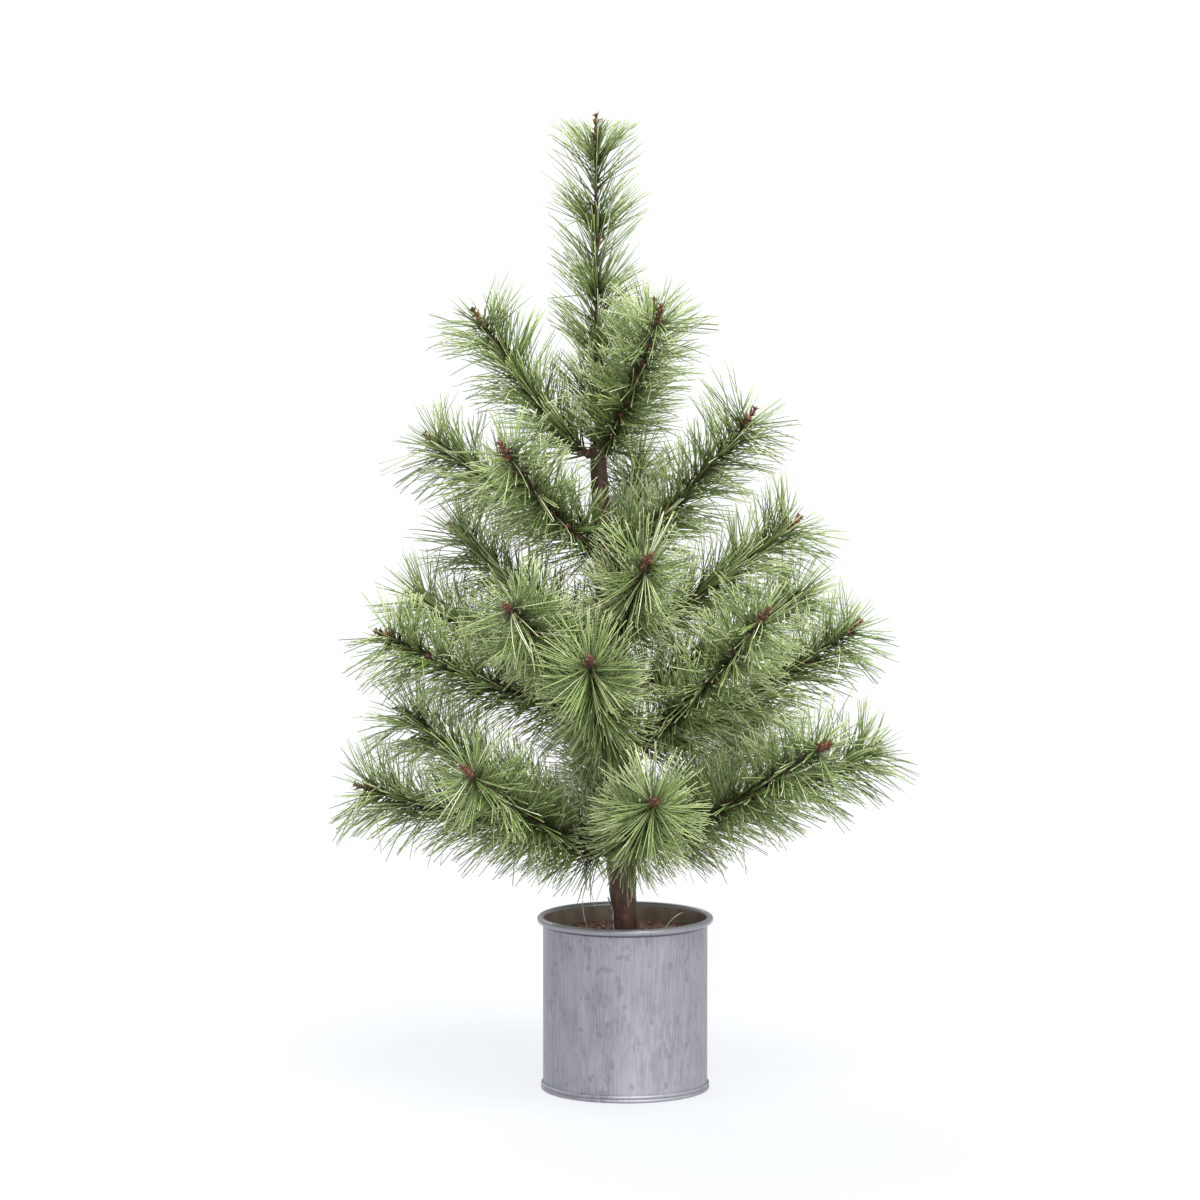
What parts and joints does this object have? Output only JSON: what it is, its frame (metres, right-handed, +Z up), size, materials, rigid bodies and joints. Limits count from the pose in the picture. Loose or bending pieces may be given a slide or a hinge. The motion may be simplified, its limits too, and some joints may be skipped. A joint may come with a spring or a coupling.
{
  "type": "artificial tabletop tree",
  "caption": "Small artificial pine in a plain zinc pot: taped trunk, upturned bendable branches with long needles, weighted base.",
  "frame": {"origin": "centre of the pot's flat underside, on the pot's axis", "axes": "+Z up along the pot's axis, the tree's height; -Y towards the front, the side that is shown; +X to the right seen from the front"},
  "size_m": [0.3556, 0.3416, 0.6029],
  "materials": {
    "zinc_sheet": "matte",
    "cast_cement": "matte",
    "brown_litter": "matte",
    "steel_rod": "satin",
    "trunk_tape": "matte",
    "coated_wire": "matte",
    "pine_needles": "satin"
  },
  "bodies": {
    "stand": {"pot_base": "zinc_sheet", "pot_wall": "zinc_sheet", "ballast_block": "cast_cement", "litter_layer": "brown_litter", "trunk_rod": "steel_rod", "trunk_wrap": "trunk_tape"},
    "branch_01": {"branch_01_stem": "coated_wire", "branch_01_needles": "pine_needles"},
    "branch_02": {"branch_02_stem": "coated_wire", "branch_02_needles": "pine_needles"},
    "branch_03": {"branch_03_stem": "coated_wire", "branch_03_needles": "pine_needles"},
    "branch_04": {"branch_04_stem": "coated_wire", "branch_04_needles": "pine_needles"},
    "branch_05": {"branch_05_stem": "coated_wire", "branch_05_needles": "pine_needles"},
    "branch_06": {"branch_06_stem": "coated_wire", "branch_06_needles": "pine_needles"},
    "branch_07": {"branch_07_stem": "coated_wire", "branch_07_needles": "pine_needles"},
    "branch_08": {"branch_08_stem": "coated_wire", "branch_08_needles": "pine_needles"},
    "branch_09": {"branch_09_stem": "coated_wire", "branch_09_needles": "pine_needles"},
    "branch_10": {"branch_10_stem": "coated_wire", "branch_10_needles": "pine_needles"},
    "branch_11": {"branch_11_stem": "coated_wire", "branch_11_needles": "pine_needles"},
    "branch_12": {"branch_12_stem": "coated_wire", "branch_12_needles": "pine_needles"},
    "branch_13": {"branch_13_stem": "coated_wire", "branch_13_needles": "pine_needles"},
    "branch_14": {"branch_14_stem": "coated_wire", "branch_14_needles": "pine_needles"},
    "branch_15": {"branch_15_stem": "coated_wire", "branch_15_needles": "pine_needles"},
    "branch_16": {"branch_16_stem": "coated_wire", "branch_16_needles": "pine_needles"},
    "branch_17": {"branch_17_stem": "coated_wire", "branch_17_needles": "pine_needles"},
    "branch_18": {"branch_18_stem": "coated_wire", "branch_18_needles": "pine_needles"},
    "branch_19": {"branch_19_stem": "coated_wire", "branch_19_needles": "pine_needles"},
    "branch_20": {"branch_20_stem": "coated_wire", "branch_20_needles": "pine_needles"},
    "branch_21": {"branch_21_stem": "coated_wire", "branch_21_needles": "pine_needles"},
    "branch_22": {"branch_22_stem": "coated_wire", "branch_22_needles": "pine_needles"},
    "branch_23": {"branch_23_stem": "coated_wire", "branch_23_needles": "pine_needles"},
    "branch_24": {"branch_24_stem": "coated_wire", "branch_24_needles": "pine_needles"},
    "branch_25": {"branch_25_stem": "coated_wire", "branch_25_needles": "pine_needles"},
    "branch_26": {"branch_26_stem": "coated_wire", "branch_26_needles": "pine_needles"},
    "leader": {"leader_stem": "coated_wire", "leader_needles": "pine_needles"}
  },
  "joints": [
    {"name": "branch_01_bend", "type": "hinge", "parent": "stand", "child": "branch_01", "pos_m": [0.00743, 0.00147, 0.1505], "axis": [0.1392, -0.9903, 0], "range_deg": [-20, 40], "deforming": ["branch_01_needles"]},
    {"name": "branch_02_bend", "type": "hinge", "parent": "stand", "child": "branch_02", "pos_m": [0.00528, -0.00652, 0.1505], "axis": [-0.6157, -0.788, 0], "range_deg": [-20, 40], "deforming": ["branch_02_needles"]},
    {"name": "branch_03_bend", "type": "hinge", "parent": "stand", "child": "branch_03", "pos_m": [-0.00159, -0.01049, 0.1505], "axis": [-0.9903, -0.1392, 0], "range_deg": [-20, 40], "deforming": ["branch_03_needles"]},
    {"name": "branch_04_bend", "type": "hinge", "parent": "stand", "child": "branch_04", "pos_m": [-0.0093, -0.00843, 0.1445], "axis": [-0.788, 0.6157, 0], "range_deg": [-20, 40], "deforming": ["branch_04_needles"]},
    {"name": "branch_05_bend", "type": "hinge", "parent": "stand", "child": "branch_05", "pos_m": [-0.01361, -0.00092, 0.1505], "axis": [-0.0872, 0.9962, 0], "range_deg": [-20, 40], "deforming": ["branch_05_needles"]},
    {"name": "branch_06_bend", "type": "hinge", "parent": "stand", "child": "branch_06", "pos_m": [-0.01217, 0.00558, 0.1535], "axis": [0.5299, 0.848, 0], "range_deg": [-20, 40], "deforming": ["branch_06_needles"]},
    {"name": "branch_07_bend", "type": "hinge", "parent": "stand", "child": "branch_07", "pos_m": [-0.00474, 0.01048, 0.1475], "axis": [0.9848, 0.1736, 0], "range_deg": [-20, 40], "deforming": ["branch_07_needles"]},
    {"name": "branch_08_bend", "type": "hinge", "parent": "stand", "child": "branch_08", "pos_m": [0.00331, 0.00846, 0.1505], "axis": [0.7986, -0.6018, 0], "range_deg": [-20, 40], "deforming": ["branch_08_needles"]},
    {"name": "branch_09_bend", "type": "hinge", "parent": "stand", "child": "branch_09", "pos_m": [0.00321, -0.00134, 0.2075], "axis": [-0.1392, -0.9903, 0], "range_deg": [-20, 40], "deforming": ["branch_09_needles"]},
    {"name": "branch_10_bend", "type": "hinge", "parent": "stand", "child": "branch_10", "pos_m": [-0.00013, -0.00735, 0.2075], "axis": [-0.766, -0.6428, 0], "range_deg": [-20, 40], "deforming": ["branch_10_needles"]},
    {"name": "branch_11_bend", "type": "hinge", "parent": "stand", "child": "branch_11", "pos_m": [-0.00746, -0.00949, 0.2105], "axis": [-0.9945, 0.1045, 0], "range_deg": [-20, 40], "deforming": ["branch_11_needles"]},
    {"name": "branch_12_bend", "type": "hinge", "parent": "stand", "child": "branch_12", "pos_m": [-0.01268, -0.00786, 0.2465], "axis": [-0.8829, 0.4695, 0], "range_deg": [-20, 40], "deforming": ["branch_12_needles"]},
    {"name": "branch_13_bend", "type": "hinge", "parent": "stand", "child": "branch_13", "pos_m": [-0.0163, -0.0027, 0.2285], "axis": [-0.2924, 0.9563, 0], "range_deg": [-20, 40], "deforming": ["branch_13_needles"]},
    {"name": "branch_14_bend", "type": "hinge", "parent": "stand", "child": "branch_14", "pos_m": [-0.01676, 0.00334, 0.2465], "axis": [0.3746, 0.9272, 0], "range_deg": [-20, 40], "deforming": ["branch_14_needles"]},
    {"name": "branch_15_bend", "type": "hinge", "parent": "stand", "child": "branch_15", "pos_m": [-0.0078, 0.00921, 0.2285], "axis": [0.9994, 0.0349, 0], "range_deg": [-20, 40], "deforming": ["branch_15_needles"]},
    {"name": "branch_16_bend", "type": "hinge", "parent": "stand", "child": "branch_16", "pos_m": [-0.00044, 0.00464, 0.2405], "axis": [0.515, -0.8572, 0], "range_deg": [-20, 40], "deforming": ["branch_16_needles"]},
    {"name": "branch_17_bend", "type": "hinge", "parent": "stand", "child": "branch_17", "pos_m": [-0.00202, 0.00204, 0.2765], "axis": [0.2419, -0.9703, 0], "range_deg": [-20, 40], "deforming": ["branch_17_needles"]},
    {"name": "branch_18_bend", "type": "hinge", "parent": "stand", "child": "branch_18", "pos_m": [-0.00845, -0.00825, 0.2765], "axis": [-0.9781, -0.2079, 0], "range_deg": [-20, 40], "deforming": ["branch_18_needles"]},
    {"name": "branch_19_bend", "type": "hinge", "parent": "stand", "child": "branch_19", "pos_m": [-0.01658, 0.00525, 0.2705], "axis": [0.6157, 0.788, 0], "range_deg": [-20, 40], "deforming": ["branch_19_needles"]},
    {"name": "branch_20_bend", "type": "hinge", "parent": "stand", "child": "branch_20", "pos_m": [-0.00599, -0.00287, 0.3275], "axis": [-0.3746, -0.9272, 0], "range_deg": [-20, 40], "deforming": ["branch_20_needles"]},
    {"name": "branch_21_bend", "type": "hinge", "parent": "stand", "child": "branch_21", "pos_m": [-0.01794, -0.006, 0.3305], "axis": [-0.788, 0.6157, 0], "range_deg": [-20, 40], "deforming": ["branch_21_needles"]},
    {"name": "branch_22_bend", "type": "hinge", "parent": "stand", "child": "branch_22", "pos_m": [-0.02114, 0.0018, 0.3425], "axis": [0.2419, 0.9703, 0], "range_deg": [-20, 40], "deforming": ["branch_22_needles"]},
    {"name": "branch_23_bend", "type": "hinge", "parent": "stand", "child": "branch_23", "pos_m": [-0.01042, 0.00776, 0.3095], "axis": [0.9781, -0.2079, 0], "range_deg": [-20, 40], "deforming": ["branch_23_needles"]},
    {"name": "branch_24_bend", "type": "hinge", "parent": "stand", "child": "branch_24", "pos_m": [-0.01311, -0.00568, 0.3905], "axis": [-0.848, -0.5299, 0], "range_deg": [-20, 30], "deforming": ["branch_24_needles"]},
    {"name": "branch_25_bend", "type": "hinge", "parent": "stand", "child": "branch_25", "pos_m": [-0.02334, -0.00047, 0.3905], "axis": [-0.0698, 0.9976, 0], "range_deg": [-20, 30], "deforming": ["branch_25_needles"]},
    {"name": "branch_26_bend", "type": "hinge", "parent": "stand", "child": "branch_26", "pos_m": [-0.01333, 0.00595, 0.3875], "axis": [0.8829, -0.4695, 0], "range_deg": [-20, 30], "deforming": ["branch_26_needles"]},
    {"name": "leader_bend", "type": "hinge", "parent": "stand", "child": "leader", "pos_m": [-0.017, 0, 0.3985], "axis": [0, 1, 0], "range_deg": [-15, 15], "deforming": ["leader_needles"]}
  ]
}
